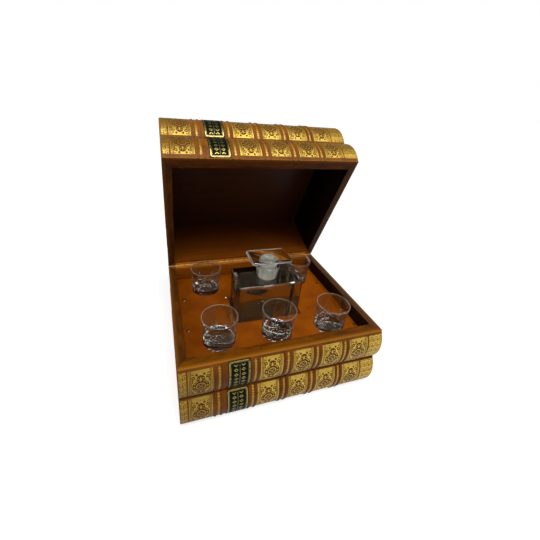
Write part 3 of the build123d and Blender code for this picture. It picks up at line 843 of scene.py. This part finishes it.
def pick(piece, test, kind="vertices"):  # select what passes the test, and nothing else
    bpy.ops.mesh.select_mode(type="EDGE" if kind == "edges" else "VERT")
    bpy.ops.mesh.select_all(action="DESELECT")
    bpy.ops.object.mode_set(mode="OBJECT")
    for item in getattr(piece.data, kind):
        item.select = test(item)
    bpy.ops.object.mode_set(mode="EDIT")


def place(piece, name, body, slot, material, opened=False, instead=()):
    selectOnly(piece)
    bpy.context.view_layer.update()
    if opened:
        piece.matrix_world = lidOpen @ piece.matrix_world
    bpy.ops.object.transform_apply()
    piece.name = name
    piece.data.name = name
    if material:
        coat(piece, material)
    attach(piece, body)
    if instead:
        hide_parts(*instead)
    piece.select_set(False)


# page edges: the fore-edge, head and tail of each book, as sheets sunk between its boards
pages = {
    "leaf": 0.6 * mm,
    "proud": 0.3 * mm,
    "board": 3.6 * mm,
    "hollow": 1.2 * mm,
    "sheet": 0.5 * mm,
    "start": -105.5 * mm,  # where the blocks at the sides begin, behind the spine
    "gather": 7,  # every so many folds, one is pressed in
    "tones": ("#84592a", "#eac48c"),
    "block": (215.3, 42.8),  # length and height of a side block, which its UV map spans
    "streak": (59.8, 0.793),  # along and across it: real leaves are too thin to show
    "cloud": 28.6,
}


def pageEdge(name):  # rag paper trimmed by a plough, its leaves seen as fine lines, browned
    material, tree = newMaterial(name)
    spans = [whole / size for whole, size in zip(pages["block"], pages["streak"])]
    leaves = add(tree, "Mapping", add(tree, "TexCoord", out="UV"), Scale=(*spans, 1))
    streak = add(tree, "TexNoise", leaves, Scale=1.0, Detail=5.0, Roughness=0.75)
    cloud = add(tree, "TexNoise", add(tree, "TexCoord", out="Object"),
                Scale=per(pages["cloud"]), Detail=4.0)
    paper = add(tree, "MixRGB", add(tree, "MapRange", streak, 0.32, 0.66, 0, 1),
                *pages["tones"])
    stain = add(tree, "MapRange", cloud, 0.35, 0.7, 0.8, 1.05)
    shade = add(tree, "MixRGB", 1.0, paper, stain, blend_type="MULTIPLY")
    bump = add(tree, "Bump", Strength=0.4, Distance=0.1 * mm, Height=streak, out="Normal")
    return waxed(material, shade, 0.7, 0.3, bump)


def pageBlock(book, side, material):
    low, high = spine["bookEdges"][book]
    low, high = low * mm + pages["board"], high * mm - pages["board"]
    rows = 2 * round((high - low) / (2 * pages["leaf"]))
    inset = pages["hollow"] - pages["sheet"]
    outward = {"left": (-1, 0), "right": (1, 0), "back": (0, 1)}[side]
    if side == "back":
        length = 2 * (case["right"] - pages["hollow"])
        middle = (0, case["back"] - inset)
        turn = math.pi
    else:
        length = case["back"] - inset - pages["start"]
        middle = (outward[0] * (case["right"] - inset), pages["start"] + length / 2)
        turn = outward[0] * math.pi / 2
    bpy.ops.mesh.primitive_grid_add(
        x_subdivisions=1, y_subdivisions=rows, size=1,
        location=(middle[0], middle[1], (low + high) / 2), rotation=(math.pi / 2, 0, turn),
    )
    piece = bpy.context.object
    piece.scale = (length, high - low, 1)
    bpy.ops.object.transform_apply()
    edit(piece)
    step = (high - low) / rows
    pick(piece, lambda point: round((point.co.z - low) / step) % 2 == 1)
    push = [axis * pages["proud"] for axis in outward]
    bpy.ops.transform.translate(value=(push[0], push[1], 0))
    row = pages["gather"] * 2
    pick(piece, lambda point: round((point.co.z - low) / step) % row == row // 2)
    bpy.ops.transform.translate(value=(-push[0], -push[1], 0))
    bpy.ops.object.mode_set(mode="OBJECT")
    thicken = piece.modifiers.new("sheet", "SOLIDIFY")
    thicken.thickness = pages["sheet"]
    thicken.offset = -1
    bpy.ops.object.modifier_apply(modifier="sheet")
    opened = book.startswith("lid")
    place(piece, book + "_pages_" + side, "lid" if opened else "base", "stained_wood",
          material, opened)


paper = pageEdge("ploughed_page_edges")
for book in spine["bookEdges"]:
    for side in ("left", "right", "back"):
        pageBlock(book, side, paper)
print("page edges made")

# turned shapes: a wall's corners are drawn out in millimetres, rounded and spun
same = 0.01 * mm  # points nearer than this are taken for one place
weld = 0.005 * mm


def drawProfile(points, rounds):
    bpy.ops.mesh.primitive_plane_add(
        size=1 * mm, location=(points[0][0] * mm, 0, points[0][1] * mm))
    piece = bpy.context.object
    bpy.ops.object.transform_apply()
    edit(piece)
    bpy.ops.mesh.select_mode(type="VERT")
    bpy.ops.mesh.select_all(action="SELECT")
    bpy.ops.mesh.merge(type="CENTER")
    for start, end in zip(points, points[1:]):
        step = ((end[0] - start[0]) * mm, 0, (end[1] - start[1]) * mm)
        bpy.ops.mesh.extrude_region_move(TRANSFORM_OT_translate={"value": step})
    for index, (size, segments) in rounds.items():
        spot = Vector((points[index][0] * mm, 0, points[index][1] * mm))
        pick(piece, lambda point: (point.co - spot).length < same)
        bpy.ops.mesh.bevel(offset=size * mm, segments=segments, affect="VERTICES")
    return piece


def spinProfile(steps):
    bpy.ops.mesh.select_all(action="SELECT")
    bpy.ops.mesh.spin(steps=steps, angle=2 * math.pi, center=(0, 0, 0), axis=(0, 0, 1))
    bpy.ops.mesh.select_all(action="SELECT")
    bpy.ops.mesh.remove_doubles(threshold=weld)
    bpy.ops.mesh.normals_make_consistent(inside=False)


def standIn(piece, low, high):  # upright, in the middle of a node's box and on its floor
    piece.location = ((low.x + high.x) / 2, (low.y + high.y) / 2, low.z)


shot = {
    # radius and height of the wall's corners, from the underside up and back down inside:
    # the fourth is the foot and the fifth the rim
    "profile": [(0, 3.6), (7.5, 3.6), (11.5, 0), (21, 0), (24.2, 51.4), (23.1, 51.4),
                (20.1, 17), (0, 17)],
    "rounds": {1: (3.0, 5), 2: (1.0, 3), 3: (1.1, 3), 4: (0.54, 4), 5: (0.54, 4), 6: (2.2, 5)},
    "steps": 96,
    "facets": 10,
    "facetHigh": 20.0,
    "facetDeep": 2.9,
    "smooth": 15,
    "places": ["front_left", "front_middle", "front_right", "back_left", "back_right"],
}


def shotGlass():
    piece = drawProfile(shot["profile"], shot["rounds"])
    spinProfile(shot["steps"])
    foot, rim = shot["profile"][3:5]
    waist = foot[0] + (rim[0] - foot[0]) * shot["facetHigh"] / rim[1]
    reach = foot[0] - shot["facetDeep"]
    lean = math.atan2(waist - reach, shot["facetHigh"])
    for n in range(shot["facets"]):
        turn = 2 * math.pi * n / shot["facets"]
        out = (math.cos(turn), math.sin(turn))
        bpy.ops.mesh.select_all(action="SELECT")
        bpy.ops.mesh.bisect(
            plane_co=(out[0] * reach * mm, out[1] * reach * mm, 0),
            plane_no=(out[0] * math.cos(lean), out[1] * math.cos(lean), -math.sin(lean)),
            use_fill=True, clear_outer=True,
        )
    bpy.ops.object.mode_set(mode="OBJECT")
    bpy.ops.object.shade_smooth_by_angle(angle=math.radians(shot["smooth"]))
    return piece


shotFinish = pressedGlass("pressed_soda_glass", shot["profile"][4][1] * mm)
firstGlass = shotGlass()
for name in shot["places"]:
    low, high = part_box(name + "_glass")
    piece = firstGlass.copy()
    piece.data = firstGlass.data.copy()
    bpy.context.collection.objects.link(piece)
    standIn(piece, low, high)
    wall = piece.data.attributes.new("wall", "FLOAT", "POINT")  # height, for the material
    for index, point in enumerate(piece.data.vertices):
        wall.data[index].value = point.co.z
    place(piece, name + "_shot_glass", name + "_glass", "clear_glass", shotFinish,
          instead=[name + "_glass"])
bpy.data.objects.remove(firstGlass)
print("shot glasses made")

# decanter: a pressed block bottle with a ground neck, and a slab stopper
bottle = {
    "width": 98.5, "depth": 54.5, "height": 128.6,
    "corner": (3.5, 4), "edge": (1.6, 3),
    "hollow": {"wall": 6.0, "floor": 14.0, "shoulder": 10.0, "corner": (14.0, 10),
               "edge": (6.0, 6)},
    # the inner wall is drawn bending light less than glass does, so that its outline is faint
    "hollowIor": 1.1,
    "hollowBloom": 0.018,
    "neck": [(0, 128.0), (14.4, 128.0), (15.0, 128.6), (18.0, 144.6), (18.0, 147.6),
             (0, 147.6)],
    "neckRounds": {3: (0.8, 3), 4: (0.8, 3)},
    "bore": [(0, 117.6), (10.4, 117.6), (10.4, 126.6), (12.0, 147.6), (12.1, 148.6),
             (0, 148.6)],
    "steps": 80,
    "smooth": 28,
}
stopper = {
    "slab": (61.0, 40.5, 29.2, 34.2), "corner": (4.5, 6), "edge": (2.3, 5),
    # heights from the end of the plug, which fills the neck's ground bore
    "plug": [(0, 0), (10.5, 0), (11.95, 19.0), (11.95, 19.2), (13.4, 19.2), (13.4, 29.5),
             (0, 29.5)],
    "plugRounds": {1: (0.8, 2), 4: (0.6, 2), 5: (7.5, 8)},
    "groundHigh": (22, 25, 0.3),  # the matt fades between these heights to this share
    "slabFrom": 28.7,
    # painted highlights: the slab's left and back edges drawn matt grey
    "highlitLeft": (3.2, 1.2, 0.6),
    "highlitBack": (2.2, 0.8, 0.5),
}


def roundedBlock(width, depth, low, high, corner, edge):
    bpy.ops.mesh.primitive_cube_add(size=1, location=(0, 0, (low + high) / 2 * mm))
    piece = bpy.context.object
    piece.scale = (width * mm, depth * mm, (high - low) * mm)
    bpy.ops.object.transform_apply()
    edit(piece)
    points = piece.data.vertices
    upright = [abs(points[side.vertices[0]].co.z - points[side.vertices[1]].co.z) > 1 * mm
               for side in piece.data.edges]
    pick(piece, lambda side: upright[side.index], "edges")
    bpy.ops.mesh.bevel(offset=corner[0] * mm, segments=corner[1], affect="EDGES")
    for level in (low * mm, high * mm):
        bpy.ops.object.mode_set(mode="OBJECT")
        points = piece.data.vertices
        atLevel = [all(abs(points[n].co.z - level) < same for n in side.vertices)
                   for side in piece.data.edges]
        bpy.ops.object.mode_set(mode="EDIT")
        pick(piece, lambda side: atLevel[side.index], "edges")
        bpy.ops.mesh.bevel(offset=edge[0] * mm, segments=edge[1], affect="EDGES")
    bpy.ops.object.mode_set(mode="OBJECT")
    return piece


def turned(points, rounds):
    piece = drawProfile(points, rounds)
    spinProfile(bottle["steps"])
    bpy.ops.object.mode_set(mode="OBJECT")
    return piece


def carve(piece, cutter, operation):
    selectOnly(piece)
    joint = piece.modifiers.new("joint", "BOOLEAN")
    joint.operation = operation
    joint.object = cutter
    joint.material_mode = "TRANSFER"
    bpy.ops.object.modifier_apply(modifier="joint")
    bpy.data.objects.remove(cutter)


def stopperGlass(name, low, high):
    # matt plug fading to a clear slab, its left and back edges matt grey as painted highlights
    material, tree = newMaterial(name)
    axes = add(tree, "SeparateXYZ", add(tree, "TexCoord", out="Object"), out="X").node.outputs
    clear = add(tree, "BsdfPrincipled", Base_Color=glassware["tint"], Roughness=0.0,
                IOR=glassware["ior"], Transmission_Weight=1.0)
    start, end, share = stopper["groundHigh"]
    ground = add(tree, "MapRange", axes["Z"], low.z + start * mm, low.z + end * mm, 1, share)
    # painted highlight: the slab's left and back edges matt
    far, near, share = stopper["highlitLeft"]
    left = add(tree, "MapRange", axes["X"], low.x + far * mm, low.x + near * mm, 0, share)
    far, near, share = stopper["highlitBack"]
    back = add(tree, "MapRange", axes["Y"], high.y - far * mm, high.y - near * mm, 0, share)
    edgeHighlight = add(tree, "Math", left, back, operation="MAXIMUM")
    inSlab = add(tree, "Math", axes["Z"], low.z + stopper["slabFrom"] * mm,
                 operation="GREATER_THAN")
    matt = add(tree, "MixRGB", inSlab, ground, edgeHighlight)
    letLight(tree, add(tree, "MixShader", matt, clear, groundGlass(tree)), "stopper")
    return material


block = roundedBlock(bottle["width"], bottle["depth"], 0, bottle["height"],
                     bottle["corner"], bottle["edge"])
hollow = bottle["hollow"]
room = roundedBlock(bottle["width"] - 2 * hollow["wall"], bottle["depth"] - 2 * hollow["wall"],
                    hollow["floor"], bottle["height"] - hollow["shoulder"],
                    hollow["corner"], hollow["edge"])
neck = turned(bottle["neck"], bottle["neckRounds"])
bore = turned(bottle["bore"], {})
bottleFinish = clearGlass("pressed_bottle_glass", glassware["ior"], 0)
coat(block, bottleFinish)
coat(neck, bottleFinish)
coat(room, clearGlass("bottle_hollow_wall", bottle["hollowIor"], bottle["hollowBloom"]))
coat(bore, groundBore("ground_neck_bore"))
carve(block, neck, "UNION")
carve(block, room, "DIFFERENCE")
carve(block, bore, "DIFFERENCE")
bpy.ops.object.shade_smooth_by_angle(angle=math.radians(bottle["smooth"]))
low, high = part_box("decanter_bottle")
standIn(block, low, high)
place(block, "pressed_bottle", "decanter", "clear_glass", None, instead=["decanter_bottle"])

plug = turned(stopper["plug"], stopper["plugRounds"])
slab = roundedBlock(*stopper["slab"], stopper["corner"], stopper["edge"])
low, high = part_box("decanter_stopper")
stopperFinish = stopperGlass("stopper_glass", low, high)
coat(plug, stopperFinish)
coat(slab, stopperFinish)
carve(slab, plug, "UNION")
bpy.ops.object.shade_smooth_by_angle(angle=math.radians(bottle["smooth"]))
standIn(slab, low, high)
place(slab, "slab_stopper", "stopper", "clear_glass", None, instead=["decanter_stopper"])
print("decanter made")
